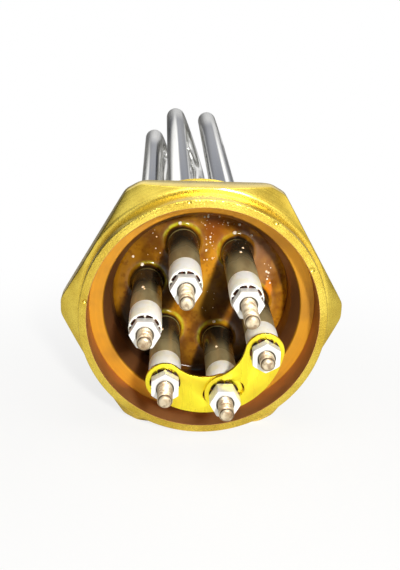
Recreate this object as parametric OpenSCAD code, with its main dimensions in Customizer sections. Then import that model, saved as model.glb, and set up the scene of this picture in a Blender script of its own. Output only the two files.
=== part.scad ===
// Screw plug immersion heater: a brass hexagon plug with a cup for the terminals,
// three bent tubular elements potted into it, and a star link across three of the six studs.
// The plug axis lies along Y. The elements point to +Y, into the tank. The terminals face -Y.
// The origin is on the axis, in the plane of the sealing shoulder behind the hexagon.

/* [Plug body] */
// Width of the hexagon across its flats
hex_af = 70; // [69:0.5:80]
// Length of the hexagon along the plug axis
hex_len = 7.5; // [6:0.5:16]
// Diameter to which the hexagon corners are turned
corner_d = 78.4; // [74:0.2:92]
// Slope of the turned cone on the front corners
corner_slope = 30; // [15:5:45]
// Width of the small chamfer on the back corners
corner_back = 1; // [0.5:0.25:2]
// Outside diameter of the rim in front of the hexagon
rim_od = 67.4; // [66:0.2:68.8]
// How far the rim stands in front of the hexagon
rim_len = 7; // [4:0.5:14]
// Chamfer on both edges of the rim
rim_edge = 0.35; // [0.2:0.05:0.6]
// Diameter of the counterbore inside the rim
cup_d = 62.8; // [60:0.2:64]
// Depth of the counterbore from the front of the rim
cup_depth = 9.5; // [6:0.5:11]
// Diameter of the chamber where it opens on the ledge
throat_d = 55.2; // [52:0.2:57]
// Length of the taper from the ledge down to the straight chamber
throat_len = 6; // [4:0.5:9]
// Diameter of the straight chamber inside the threaded spigot
chamber_d = 50.8; // [47:0.2:51.6]
// Thickness of the end wall that carries the elements
end_wall = 8; // [5:0.5:12]

/* [Threaded spigot] */
// Outside diameter of the pipe thread
thread_d = 59.6; // [57:0.1:61]
// Pitch of the pipe thread
thread_pitch = 2.309; // [1.8:0.001:3]
// Depth of the thread below its crests
thread_depth = 1.45; // [0.8:0.05:1.5]
// Plain length between the shoulder and the first groove
thread_start = 1.3; // [1:0.1:4]
// Length of the spigot from the shoulder
spigot_len = 26; // [22:0.5:40]
// Chamfer on the leading edge of the thread
thread_lead = 1.5; // [0.5:0.25:2.5]

/* [Heating elements] */
// Outside diameter of the element sheath
tube_od = 8.5; // [7.5:0.1:9]
// Wall of the element sheath
tube_wall = 0.7; // [0.5:0.05:0.8]
// Pitch circle diameter of the six tube ends
pitch_d = 31.4; // [29:0.2:34]
// Turn of the whole tube pattern about the plug axis
clocking = 20; // [0:1:59]
// Immersed length from the shoulder to the outside of the bends
immersed_len = 230; // [160:5:600]
// Depth of the resin surface from the front of the rim
resin_depth = 24; // [20:0.5:30]
// Unheated length of the cold pins past the shoulder
cold_len = 45; // [32:1:70]
// Diameter of the cold pins
pin_d = 3; // [2.6:0.1:3.2]
// Thickness of the coil winding
coil_wall = 0.6; // [0.3:0.05:0.8]
// Length of coil that is wound over each cold pin
coil_lap = 6; // [3:0.5:10]

/* [Ceramic bushes] */
// How far the sheath ends stand in front of the rim
tube_proud = 3; // [1:0.5:10]
// Extra stand-off of terminal 1
long_leg = 2; // [0:0.25:4]
// Outside diameter of the bush collar
bush_od = 8.6; // [8.2:0.1:9.4]
// Length of the bush collar
bush_len = 10; // [6:0.5:16]
// Length of the bush neck inside the sheath
neck_len = 6; // [3:0.5:10]
// Chamfer on the bush edges
bush_edge = 0.4; // [0.2:0.05:0.6]

/* [Studs, nuts and washers] */
// Diameter of the stud thread
stud_d = 4; // [3.5:0.1:4.6]
// Length of stud 1 past its bush
stud_1_len = 15.8; // [14:0.2:24]
// Length of stud 2 past its bush
stud_2_len = 13.2; // [10:0.2:24]
// Length of stud 3 past its bush
stud_3_len = 9.8; // [7:0.2:24]
// Length of stud 4 past its bush
stud_4_len = 12.8; // [10:0.2:24]
// Length of stud 5 past its bush
stud_5_len = 14.4; // [11:0.2:24]
// Length of stud 6 past its bush
stud_6_len = 9.2; // [8:0.2:24]
// Width of the nuts across their flats
nut_af = 7; // [6.6:0.1:8]
// Height of the nuts
nut_h = 3.2; // [2.4:0.1:4]
// Height of the taller nut on the shared terminal
tall_nut_h = 5; // [3.2:0.1:6]
// Outside diameter of the star washers over their teeth
washer_d = 8; // [7.4:0.1:9]
// Sheet thickness of the star washers
washer_t = 0.5; // [0.3:0.05:0.7]
// Number of teeth on each star washer
washer_teeth = 10; // [8:1:12]
// Twist of each tooth out of the washer's plane
tooth_twist = 24; // [12:1:35]

/* [Star links] */
// Width of the link bars
link_w = 10.2; // [9.4:0.1:12]
// Thickness of the link bars
link_t = 1; // [0.6:0.1:1.6]
// Length of the slot past the centre of the shared terminal
slot_run = 3.4; // [1:0.1:4]

/* [Clearances] */
// Radial gap round each sheath in the end wall
braze_gap = 0.1; // [0.05:0.01:0.2]
// Radial gap round the resin
resin_gap = 0.05; // [0.02:0.01:0.1]
// Radial gap between a bush neck and its sheath
neck_gap = 0.1; // [0.05:0.01:0.2]
// Radial gap between a stud and its bush or nut
stud_gap = 0.06; // [0.03:0.01:0.12]
// Radial gap between a stud and a washer or link
hole_gap = 0.2; // [0.1:0.05:0.4]

/* [Hidden] */
$fn = 64;

// Heights below are along the plug axis, up towards the terminals, from the shoulder
rim_z = hex_len + rim_len;
ledge_z = rim_z - cup_depth;
floor_z = -(spigot_len - end_wall);
resin_z = rim_z - resin_depth;
corner_drop = (corner_d - hex_af) / 2 * tan(corner_slope);

// Thread: shares of the pitch at which a groove leaves the crest, meets the root and comes back
thread_r = thread_d / 2;
thread_turns = floor((spigot_len - thread_lead - thread_start) / thread_pitch);
groove = [[thread_r, 0.07], [thread_r - thread_depth, 0.39], [thread_r - thread_depth, 0.61], [thread_r, 0.93]];

// Element sections
tube_r = tube_od / 2;
core_r = tube_r - tube_wall;
pin_r = pin_d / 2;
coil_r = pin_r + coil_wall;
pitch_r = pitch_d / 2;
cold_z = -cold_len;

// Terminals: legs 4 and 5 are set back so that the lower link lies level with the other bush fronts
stud_r = stud_d / 2;
stud_lens = [stud_1_len, stud_2_len, stud_3_len, stud_4_len, stud_5_len, stud_6_len];
leg_shifts = [long_leg, 0, 0, -link_t, -link_t, 0];
links_on = [0, 0, 0, 1, 2, 1];
nut_turns = [0, 0, 0, 30, 0, 30];
washer_r = washer_d / 2;
tooth_w = 2 * PI * washer_r / washer_teeth * 0.6;
washer_ring_r = stud_r + hole_gap + (washer_r - stud_r - hole_gap) * 0.5;
washer_h = tooth_w * sin(tooth_twist) + washer_t * cos(tooth_twist);

function leg_angle(i) = clocking + 60 * i - 30;
function tube_end(i) = rim_z + tube_proud + leg_shifts[i - 1];
function bush_front(i) = tube_end(i) + bush_len;
function washer_z(i) = bush_front(i) + links_on[i - 1] * link_t;
function nut_z(i) = washer_z(i) + washer_h;
function nut_height(i) = i == 5 ? tall_nut_h : nut_h;
function stud_tip(i) = bush_front(i) + stud_lens[i - 1];
function plane_x(k) = pitch_r * cos(60 * k - 30);
function half_chord(k) = pitch_r * sin(60 * k - 30);
function bend_z(k) = -(immersed_len - half_chord(k) - tube_r);

// Points on an arc of radius r about c, without the first one
function arc(c, r, from, to, steps) = [
    for (j = [1:steps]) let (t = from + (to - from) * j / steps) c + r * [cos(t), sin(t)]
];

// Outline of a bar with round ends that follows a circle of radius r
function curved_bar(r, half_w, from, to) = concat(
    arc([0, 0], r + half_w, from, to, 24),
    arc(r * [cos(to), sin(to)], half_w, to, to + 180, 20),
    arc([0, 0], r - half_w, to, from, 24),
    arc(r * [cos(from), sin(from)], half_w, from + 180, from + 360, 20)
);

// Turns an upright shape so that its axis lies along Y with its top towards -Y
module lay() {
    rotate([90, 0, 0]) children();
}

// Carries a shape to tube end i
module at_leg(i) {
    rotate([0, 0, leg_angle(i)]) translate([pitch_r, 0, 0]) rotate([0, 0, -leg_angle(i)]) children();
}

// A bent rod on the centre line of element k, with its two ends at their own heights
module hairpin(k, r, top_a, top_b) {
    h = half_chord(k);
    z = bend_z(k);
    rotate([0, 0, clocking]) translate([plane_x(k), 0, 0]) {
        translate([0, h, z]) cylinder(r = r, h = top_a - z);
        translate([0, -h, z]) cylinder(r = r, h = top_b - z);
        translate([0, 0, z]) rotate([-90, 0, 90]) rotate_extrude(angle = 180) translate([h, 0]) circle(r = r);
    }
}

module plug_body() {
    color("goldenrod") lay() difference() {
        union() {
            intersection() {
                cylinder(d = hex_af / cos(30), h = hex_len, $fn = 6);
                rotate_extrude() polygon([
                    [0, 0],
                    [corner_d / 2 - corner_back, 0],
                    [corner_d / 2, corner_back],
                    [corner_d / 2, hex_len - corner_drop],
                    [hex_af / 2, hex_len],
                    [0, hex_len]
                ]);
            }
            rotate_extrude() polygon(concat(
                [
                    [0, -spigot_len],
                    [thread_r - thread_lead, -spigot_len],
                    [thread_r, -spigot_len + thread_lead]
                ],
                // the thread is drawn as a groove for each turn, from the nose to the shoulder
                [
                    for (turn = [thread_turns:-1:1], p = groove)
                        [p[0], -thread_start + (p[1] - turn) * thread_pitch]
                ],
                [
                    [thread_r, hex_len / 2],
                    [rim_od / 2, hex_len / 2],
                    [rim_od / 2, rim_z - rim_edge],
                    [rim_od / 2 - rim_edge, rim_z],
                    [0, rim_z]
                ]
            ));
        }
        rotate_extrude() polygon([
            [0, floor_z],
            [chamber_d / 2, floor_z],
            [chamber_d / 2, ledge_z - throat_len],
            [throat_d / 2, ledge_z],
            [cup_d / 2, ledge_z],
            [cup_d / 2, rim_z - rim_edge],
            [cup_d / 2 + rim_edge, rim_z],
            [cup_d / 2 + rim_edge, rim_z + 1],
            [0, rim_z + 1]
        ]);
        for (i = [1:6])
            at_leg(i) translate([0, 0, -spigot_len - 1])
                cylinder(r = tube_r + braze_gap, h = end_wall + 2);
    }
}

module potting_resin() {
    color("saddlebrown") lay() difference() {
        translate([0, 0, floor_z]) cylinder(r = chamber_d / 2 - resin_gap, h = resin_z - floor_z);
        for (i = [1:6])
            at_leg(i) translate([0, 0, floor_z - 1])
                cylinder(r = tube_r + resin_gap, h = resin_z - floor_z + 2);
    }
}

module element_sheath(k) {
    color("dimgray") lay() difference() {
        hairpin(k, tube_r, tube_end(k), tube_end(7 - k));
        hairpin(k, core_r, tube_end(k) + 1, tube_end(7 - k) + 1);
    }
}

module heating_coil(k) {
    color("silver") lay() difference() {
        hairpin(k, coil_r, cold_z + coil_lap, cold_z + coil_lap);
        hairpin(k, pin_r, cold_z + coil_lap + 1, cold_z + coil_lap + 1);
    }
}

// Powder round the coil and the cold pins, and the core of powder inside the coil
module magnesia_fill(k) {
    color("white") lay() {
        difference() {
            hairpin(k, core_r, tube_end(k) - neck_len, tube_end(7 - k) - neck_len);
            hairpin(k, coil_r, cold_z + coil_lap, cold_z + coil_lap);
            for (i = [k, 7 - k])
                at_leg(i) translate([0, 0, cold_z]) cylinder(r = pin_r, h = tube_end(i) - cold_z);
        }
        hairpin(k, pin_r, cold_z, cold_z);
    }
}

module terminal_stud(i) {
    neck_z = tube_end(i) - neck_len;
    tip_c = stud_r * 0.45;
    color("rosybrown") lay() at_leg(i) rotate_extrude() polygon([
        [0, cold_z],
        [pin_r, cold_z],
        [pin_r, neck_z],
        [stud_r, neck_z],
        [stud_r, stud_tip(i) - tip_c],
        [stud_r - tip_c * 0.3, stud_tip(i) - tip_c * 0.3],
        [stud_r - tip_c, stud_tip(i)],
        [0, stud_tip(i)]
    ]);
}

module ceramic_bush(i) {
    bore_r = stud_r + stud_gap;
    neck_r = core_r - neck_gap;
    color("ivory") lay() at_leg(i) translate([0, 0, tube_end(i)]) rotate_extrude() polygon([
        [bore_r, -neck_len],
        [neck_r, -neck_len],
        [neck_r, 0],
        [bush_od / 2 - bush_edge / 2, 0],
        [bush_od / 2, bush_edge / 2],
        [bush_od / 2, bush_len - bush_edge],
        [bush_od / 2 - bush_edge, bush_len],
        [bore_r, bush_len]
    ]);
}

module star_washer(i) {
    root = washer_ring_r - 0.3;
    color("sienna") lay() at_leg(i) translate([0, 0, washer_z(i) + washer_h / 2]) difference() {
        union() {
            translate([0, 0, -washer_t / 2]) cylinder(r = washer_ring_r, h = washer_t);
            for (j = [1:washer_teeth])
                rotate([0, 0, 360 / washer_teeth * j]) rotate([tooth_twist, 0, 0])
                    translate([root, -tooth_w / 2, -washer_t / 2])
                        cube([washer_r - root, tooth_w, washer_t]);
        }
        cylinder(r = stud_r + hole_gap, h = 4 * washer_h, center = true);
    }
}

module terminal_nut(i) {
    h = nut_height(i);
    corner_r = nut_af / 2 / cos(30);
    cut = (corner_r - nut_af / 2) * 1.1;
    rise = cut * tan(30);
    color("gainsboro") lay() at_leg(i) translate([0, 0, nut_z(i)]) difference() {
        intersection() {
            rotate([0, 0, nut_turns[i - 1]]) cylinder(r = corner_r, h = h, $fn = 6);
            rotate_extrude() polygon([
                [0, 0],
                [corner_r - cut, 0],
                [corner_r, rise],
                [corner_r, h - rise],
                [corner_r - cut, h],
                [0, h]
            ]);
        }
        translate([0, 0, -1]) cylinder(r = stud_r + stud_gap, h = h + 2);
    }
}

// One curved bar along the pitch circle, from leg a to the next leg, with a slot at leg s
module link_bar(a, s) {
    hole_r = stud_r + hole_gap;
    slot_turn = slot_run / pitch_r * 180 / PI;
    slot_from = s == a ? leg_angle(s) : leg_angle(s) - slot_turn;
    difference() {
        linear_extrude(link_t) polygon(curved_bar(pitch_r, link_w / 2, leg_angle(a), leg_angle(a + 1)));
        for (i = [a, a + 1])
            if (i != s) at_leg(i) translate([0, 0, -1]) cylinder(r = hole_r, h = link_t + 2);
        translate([0, 0, -1]) linear_extrude(link_t + 2)
            polygon(curved_bar(pitch_r, hole_r, slot_from, slot_from + slot_turn));
    }
}

module star_link_lower() {
    color("gold") lay() translate([0, 0, bush_front(4)]) link_bar(4, 5);
}

module star_link_upper() {
    color("gold") lay() translate([0, 0, bush_front(5) + link_t]) link_bar(5, 5);
}

plug_body();
potting_resin();
for (k = [1:3]) {
    element_sheath(k);
    magnesia_fill(k);
    heating_coil(k);
}
for (i = [1:6]) {
    terminal_stud(i);
    ceramic_bush(i);
    star_washer(i);
    terminal_nut(i);
}
star_link_lower();
star_link_upper();
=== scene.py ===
import math
import random

import bmesh
import bpy
from mathutils import Matrix, Vector


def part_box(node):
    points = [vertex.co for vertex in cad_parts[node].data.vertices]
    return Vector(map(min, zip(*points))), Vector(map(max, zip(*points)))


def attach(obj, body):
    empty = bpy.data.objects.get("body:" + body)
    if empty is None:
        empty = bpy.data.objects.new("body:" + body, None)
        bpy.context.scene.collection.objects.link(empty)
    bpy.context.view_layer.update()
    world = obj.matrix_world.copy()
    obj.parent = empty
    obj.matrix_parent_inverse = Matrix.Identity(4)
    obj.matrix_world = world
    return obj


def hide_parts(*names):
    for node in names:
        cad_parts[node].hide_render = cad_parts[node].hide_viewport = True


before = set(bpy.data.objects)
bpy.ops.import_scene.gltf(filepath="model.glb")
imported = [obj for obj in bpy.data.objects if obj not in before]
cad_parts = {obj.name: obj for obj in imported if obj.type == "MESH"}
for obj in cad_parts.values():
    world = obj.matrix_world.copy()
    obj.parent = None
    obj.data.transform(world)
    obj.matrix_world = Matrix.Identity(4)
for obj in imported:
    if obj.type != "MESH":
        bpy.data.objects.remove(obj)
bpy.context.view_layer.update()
mm = 0.001
scene = bpy.context.scene
scene.view_settings.view_transform = "Standard"
print("frame:", len(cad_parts), "nodes")


def pickOnly(piece=None):
    if bpy.context.mode != "OBJECT":
        bpy.ops.object.mode_set(mode="OBJECT")
    bpy.ops.object.select_all(action="DESELECT")
    if piece:
        piece.select_set(True)
        bpy.context.view_layer.objects.active = piece


def drawLine(name, points):
    # one vertex, then edge after edge; points are (radius, y) or (x, y, z) in mm
    points = [Vector((*point, 0)[:3]) * mm for point in points]
    pickOnly()
    bpy.ops.mesh.primitive_plane_add(size=mm)
    piece = bpy.context.object
    piece.name = name
    bpy.ops.object.mode_set(mode="EDIT")
    bpy.ops.mesh.select_mode(type="VERT")
    bpy.ops.mesh.select_all(action="SELECT")
    bpy.ops.mesh.merge(type="CENTER")
    bpy.ops.transform.translate(value=points[0])
    for here, there in zip(points, points[1:]):
        bpy.ops.mesh.extrude_region_move(TRANSFORM_OT_translate={"value": there - here})
    return piece


def closeUp(gap=1e-6):
    bpy.ops.mesh.select_all(action="SELECT")
    bpy.ops.mesh.remove_doubles(threshold=gap)
    bpy.ops.mesh.normals_make_consistent(inside=False)
    bpy.ops.object.mode_set(mode="OBJECT")


def turnPiece(name, points, steps=96):
    # lathe work: the outline is spun round the plug axis
    piece = drawLine(name, points)
    bpy.ops.mesh.select_all(action="SELECT")
    bpy.ops.mesh.spin(steps=steps, angle=2 * math.pi, center=(0, 0, 0), axis=(0, 1, 0))
    closeUp()
    return piece


def softened(points, sizes, segments=3):
    # puts a short curve at each corner that is given a size
    drawn = []
    for index, point in enumerate(points):
        size = sizes.get(index, 0)
        if not size:
            drawn.append(point)
            continue
        here = Vector(point)
        start = here + (Vector(points[index - 1]) - here).normalized() * size
        end = here + (Vector(points[(index + 1) % len(points)]) - here).normalized() * size
        for step in range(segments + 1):
            t = step / segments
            drawn.append(tuple(start * (1 - t) ** 2 + here * 2 * t * (1 - t) + end * t * t))
    return drawn


def carve(piece, tool, how="DIFFERENCE"):
    pickOnly(piece)
    cut = piece.modifiers.new("cut", "BOOLEAN")
    cut.operation = how
    cut.solver = "EXACT"
    cut.object = tool
    bpy.ops.object.modifier_apply(modifier=cut.name)
    bpy.data.objects.remove(tool, do_unlink=True)
    return piece


def breakEdges(piece, width, segments=2, angle=20):
    pickOnly(piece)
    soft = piece.modifiers.new("soft", "BEVEL")
    soft.width = width * mm
    soft.segments = segments
    soft.limit_method = "ANGLE"
    soft.angle_limit = math.radians(angle)
    soft.use_clamp_overlap = False
    bpy.ops.object.modifier_apply(modifier=soft.name)


def mergeUp(piece, gap=1e-6):
    pickOnly(piece)
    bpy.ops.object.mode_set(mode="EDIT")
    closeUp(gap)


def copyTo(piece, name, place, turn=0):
    pickOnly(piece)
    bpy.ops.object.duplicate()
    twin = bpy.context.object
    twin.name = name
    twin.rotation_euler = (0, math.radians(turn), 0)
    twin.location = place
    bpy.ops.object.transform_apply(location=True, rotation=True, scale=True)
    return twin


def ballCluster(name, spots):
    # small balls joined into one object, from x, y, z and radius in mm
    for index, (*place, size) in enumerate(spots):
        pickOnly()
        bpy.ops.mesh.primitive_ico_sphere_add(subdivisions=2, radius=size * mm, location=Vector(place) * mm)
        bpy.ops.object.transform_apply(location=True, rotation=True, scale=True)
        if index:
            cluster.select_set(True)
            bpy.context.view_layer.objects.active = cluster
            bpy.ops.object.join()
        cluster = bpy.context.object
    cluster.name = name
    return cluster


def rodAt(name, radius, yFrom, yTo, place=(0, 0), around=48):
    pickOnly()
    bpy.ops.mesh.primitive_cylinder_add(
        vertices=around,
        radius=radius * mm,
        depth=abs(yTo - yFrom) * mm,
        location=(place[0], (yFrom + yTo) / 2 * mm, place[1]),
        rotation=(math.pi / 2, 0, 0),
    )
    bpy.ops.object.transform_apply(location=True, rotation=True, scale=True)
    rod = bpy.context.object
    rod.name = name
    return rod


def finishPiece(piece, material, slotName, *stands, smooth=35):
    pickOnly(piece)
    bpy.ops.object.shade_smooth_by_angle(angle=math.radians(smooth))
    piece.data.materials.clear()
    piece.data.materials.append(material)
    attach(piece, "root")
    if stands:
        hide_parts(*stands)
    print("piece:", piece.name, len(piece.data.polygons), "faces")


def tone(red, green, paintedDarkReflection):
    # a colour as read on screen, turned into the shader's own scale
    shares = [part / 255 for part in (red, green, paintedDarkReflection)]
    return tuple(s / 12.92 if s < 0.0404 else ((s + 0.055) / 1.055) ** 2.4 for s in shares) + (1,)


def newFinish(name):
    material = bpy.data.materials.new(name)
    material.use_nodes = True
    return material, material.node_tree, material.node_tree.nodes["Principled BSDF"]


def feed(node, values):
    # a socket is linked, a plain value is set on the input itself
    for key, value in values.items():
        if isinstance(value, bpy.types.NodeSocket):
            node.id_data.links.new(value, node.inputs[key])
        else:
            node.inputs[key].default_value = value


def add(tree, kind, inputs=None, **settings):
    made = tree.nodes.new(kind)
    for key, value in settings.items():
        setattr(made, key, value)
    feed(made, inputs or {})
    return made


def maths(tree, how, a, b=0.0, c=0.0):
    return add(tree, "ShaderNodeMath", {0: a, 1: b, 2: c}, operation=how).outputs[0]


def times(tree, a, b):
    return maths(tree, "MULTIPLY", a, b)


def under(tree, value, limit):
    return maths(tree, "LESS_THAN", value, limit * mm)


def vectors(tree, how, a, b=(0, 0, 0)):
    # a measure comes out of the second socket, a vector out of the first
    made = add(tree, "ShaderNodeVectorMath", {0: a, 1: b}, operation=how)
    return made.outputs[1 if how in ("LENGTH", "DISTANCE", "DOT_PRODUCT") else 0]


def between(tree, value, low, high, outLow=0.0, outHigh=1.0):
    made = add(tree, "ShaderNodeMapRange", {0: value, 1: low, 2: high, 3: outLow, 4: outHigh})
    made.interpolation_type = "SMOOTHSTEP"
    return made.outputs[0]


def overSpan(tree, value, span, outLow=0.0, outHigh=1.0):
    # the same for a span in mm
    return between(tree, value, span[0] * mm, span[1] * mm, outLow, outHigh)


def blend(tree, share, a, b):
    return add(tree, "ShaderNodeMix", {0: share, 2: a, 3: b}).outputs[0]


def mixed(tree, share, a, b, how="MIX"):
    return add(tree, "ShaderNodeMix", {0: share, 6: a, 7: b}, data_type="RGBA", blend_type=how).outputs[2]


def dimmed(tree, colour, share):
    grey = add(tree, "ShaderNodeCombineXYZ", {0: share, 1: share, 2: share}).outputs[0]
    return mixed(tree, 1.0, colour, grey, "MULTIPLY")


def ramp(tree, value, stops):
    made = add(tree, "ShaderNodeValToRGB", {0: value})
    while len(made.color_ramp.elements) < len(stops):
        made.color_ramp.elements.new(0.5)
    for element, (place, colour) in zip(made.color_ramp.elements, stops):
        element.position = place
        element.color = colour
    return made.outputs[0]


def speckle(tree, vector, scale, detail=2.0, rough=0.5):
    settings = {"Vector": vector, "Scale": scale, "Detail": detail, "Roughness": rough}
    return add(tree, "ShaderNodeTexNoise", settings).outputs[0]


def stretched(tree, vector, shares):
    return add(tree, "ShaderNodeMapping", {"Vector": vector, "Scale": shares}).outputs[0]


def relief(tree, shader, height, strength, depth):
    made = add(tree, "ShaderNodeBump", {"Height": height, "Strength": strength, "Distance": depth * mm})
    feed(shader, {"Normal": made.outputs[0]})


def placeOn(tree):
    # object place, its three parts, the place without y, and the distance from the plug axis
    spot = add(tree, "ShaderNodeTexCoord").outputs["Object"]
    x, y, z = add(tree, "ShaderNodeSeparateXYZ", {0: spot}).outputs
    flat = add(tree, "ShaderNodeCombineXYZ", {0: x, 2: z}).outputs[0]
    return {"spot": spot, "x": x, "y": y, "z": z, "flat": flat, "radius": vectors(tree, "LENGTH", flat)}


def onLeg(leg, y=0):
    # a point on the axis of a tube end
    return (leg["place"][0], y, leg["place"][1])


def fromNearestLeg(tree, flat):
    nearest = None
    for leg in legs.values():
        off = vectors(tree, "DISTANCE", flat, onLeg(leg))
        nearest = maths(tree, "MINIMUM", nearest, off) if nearest else off
    return nearest


def latheMarks(tree, at, pitch):
    # fine rings that follow the turning, drifting slowly round the axis
    around = add(tree, "ShaderNodeSeparateXYZ", {0: vectors(tree, "NORMALIZE", at["flat"])}).outputs
    ring = times(tree, at["radius"], 1 / (pitch * mm))
    along = times(tree, at["y"], 1 / (pitch * mm))
    spot = add(tree, "ShaderNodeCombineXYZ", {0: around[0], 1: around[2], 2: ring}).outputs[0]
    settings = {"Vector": spot, "W": along, "Scale": 1.0, "Detail": 3.0, "Roughness": 0.65}
    return add(tree, "ShaderNodeTexNoise", settings, noise_dimensions="4D").outputs[0]


# the photograph's view, worked out from the plug's outline, in mm
shot = {
    "place": (-12.45, -254.71, 97.10),
    "right": (0.99885, -0.03480, 0.03284),
    "up": (-0.01904, 0.34066, 0.93999),
    "ahead": (0.04390, 0.93954, -0.33961),
    "lens": 60.83,
    "sensor": 36,
    "nearest": 10,
}
pickOnly()
bpy.ops.object.camera_add()
camera = bpy.context.object
camera.name = "shotCamera"
right, up, ahead = (Vector(shot[key]).normalized() for key in ("right", "up", "ahead"))
turn = Matrix((right, up, -ahead)).transposed().to_4x4()
camera.matrix_world = Matrix.Translation(Vector(shot["place"]) * mm) @ turn
camera.data.sensor_fit = "VERTICAL"
camera.data.sensor_height = shot["sensor"]
camera.data.lens = shot["lens"]
camera.data.clip_start = shot["nearest"] * mm
scene.camera = camera
print("camera ready")

# studio: a white table in a room that is bright overhead, behind and on the right, and dark on the left
studio = {
    "tableLevel": -35.0,
    "tableSize": 6000.0,
    "table": (0.87, 0.86, 0.82, 1),
    "tableRough": 0.7,
    "tableMirror": 0.1,
    "shadeAt": -30.0,  # y of the middle of the ground that shows shadows
    "shadeReach": (50.0, 170.0),
    "nearLift": 0.8,
    "glowAcross": (-120.0, -20.0),  # x and y where the table glows in what mirrors it
    "glowAlong": (-60.0, 0.0),
    "leftGlow": 1.0,
}
room = {
    "ambient": 0.09,
    "leftSide": 0.06,
    "rightSide": 0.7,
    "frontLeft": 1.1,
    "overhead": 0.95,
    "behind": 1.2,
    # spans of the ray's direction over which one side turns into the next
    "sides": (-0.4, 0.3),
    "up": (0.6, 0.9),
    "patchAcross": (-0.3, 0.1),
    "patchAhead": (-0.65, -0.35),
    "patchUp": (0.2, 0.4),
    "backAhead": (0.3, 0.8),
    "backUp": (0.08, 0.3),
}
pickOnly()
bpy.ops.mesh.primitive_plane_add(size=studio["tableSize"] * mm, location=(0, 0, studio["tableLevel"] * mm))
table = bpy.context.object
table.name = "table"
tableFinish, tree, shader = newFinish("tableWhite")
at = placeOn(tree)
feed(
    shader,
    {
        "Base Color": studio["table"],
        "Roughness": studio["tableRough"],
        "Specular IOR Level": studio["tableMirror"],
    },
)
ground = {0: at["x"], 1: maths(tree, "SUBTRACT", at["y"], studio["shadeAt"] * mm)}
reach = vectors(tree, "LENGTH", add(tree, "ShaderNodeCombineXYZ", ground).outputs[0])
lift = overSpan(tree, reach, studio["shadeReach"], studio["nearLift"], 1.0)
ray = add(tree, "ShaderNodeLightPath")
glow = overSpan(tree, at["x"], studio["glowAcross"], studio["leftGlow"], 0.0)
glow = times(tree, glow, overSpan(tree, at["y"], studio["glowAlong"], 1.0, 0.0))
glow = times(tree, glow, ray.outputs["Is Glossy Ray"])
white = add(tree, "ShaderNodeEmission", {"Color": (1, 1, 1, 1), "Strength": 1.0}).outputs[0]
share = maths(tree, "MULTIPLY_ADD", lift, ray.outputs["Is Camera Ray"], glow)
both = add(tree, "ShaderNodeMixShader", {0: share, 1: shader.outputs[0], 2: white})
feed(tree.nodes["Material Output"], {"Surface": both.outputs[0]})
table.data.materials.append(tableFinish)

# the room: white to the camera, its sides show only in what mirrors them
world = bpy.data.worlds.new("studio")
scene.world = world
world.use_nodes = True
tree = world.node_tree
toward = add(tree, "ShaderNodeTexCoord").outputs["Generated"]
toX, toY, toZ = add(tree, "ShaderNodeSeparateXYZ", {0: toward}).outputs
sides = between(tree, toX, *room["sides"], room["leftSide"], room["rightSide"])
mirrored = blend(tree, between(tree, toZ, *room["up"]), sides, room["overhead"])
patch = between(tree, toX, *room["patchAcross"], 1.0, 0.0)
patch = times(tree, patch, between(tree, toZ, *room["patchUp"]))
patch = times(tree, patch, between(tree, toY, *room["patchAhead"], 1.0, 0.0))
mirrored = blend(tree, patch, mirrored, room["frontLeft"])
backdrop = times(tree, between(tree, toY, *room["backAhead"]), between(tree, toZ, *room["backUp"]))
mirrored = blend(tree, backdrop, mirrored, room["behind"])
ray = add(tree, "ShaderNodeLightPath")
mirror = maths(tree, "MAXIMUM", ray.outputs["Is Glossy Ray"], ray.outputs["Is Transmission Ray"])
level = blend(tree, mirror, room["ambient"], mirrored)
level = blend(tree, ray.outputs["Is Camera Ray"], level, 1.0)
feed(tree.nodes["Background"], {"Color": (1, 1, 1, 1), "Strength": level})

lamps = {  # place in mm, width in mm, power in watts
    "keyLamp": ((95, -540, 255), 52, 4.5),
    "topLamp": ((30, -80, 480), 300, 0.6),
    "rightLamp": ((430, -160, 220), 260, 0.18),
}
for name, (place, width, power) in lamps.items():
    pickOnly()
    bpy.ops.object.light_add(type="AREA", location=Vector(place) * mm)
    lamp = bpy.context.object
    lamp.name = name
    lamp.data.size = width * mm
    lamp.data.energy = power
    lamp.visible_camera = False
    lamp.rotation_euler = (-Vector(place)).to_track_quat("-Z", "Y").to_euler()
print("studio ready:", len(lamps), "lamps")

# the plug body
plug = {
    "acrossFlats": 70.0,
    "hexLength": 7.5,
    "cornerRadius": 39.2,
    "coneTop": 34.85,
    "coneDrop": 2.45,
    "backChamfer": 1.0,
    "rimRadius": 33.7,
    "rimFront": -14.5,
    "cupRadius": 31.4,
    "ledge": -5.0,
    "throatRadius": 27.6,
    "throatEnd": 1.0,
    "chamberRadius": 25.4,
    "chamberFloor": 18.0,
    "spigotEnd": 26.0,
    "holeRadius": 4.35,
    "cornerSoft": 1.1,
    "edge": 0.2,
    "around": 128,
    "barPast": (1.0, 2.0),  # what the bar is longer by before its trimming, behind and in front
    "trimPast": 0.3,  # how far the trimming cone goes past the corners, and its drop there
    "trimDrop": 0.17,
    "drillPast": 2.0,
    "mouth": 0.5,  # how far the bore's cutting shape flares in front of the rim
    # size of the rounding by point of each outline below
    "coneSoft": {1: 0.3, 4: 0.5},
    "outsideSoft": {3: 0.3, 6: 0.45},
    "boreSoft": {2: 0.6, 3: 0.3, 4: 0.3, 5: 0.3},
    # dents on the rim: angle, distance from the axis, ball size and depth
    "nicks": [
        (57, 33.2, 1.2, 0.4),
        (28, 32.1, 1.3, 0.4),
        (98, 33.3, 1.0, 0.3),
        (171, 32.1, 1.0, 0.3),
        (238, 33.4, 1.3, 0.4),
    ],
}
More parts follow.
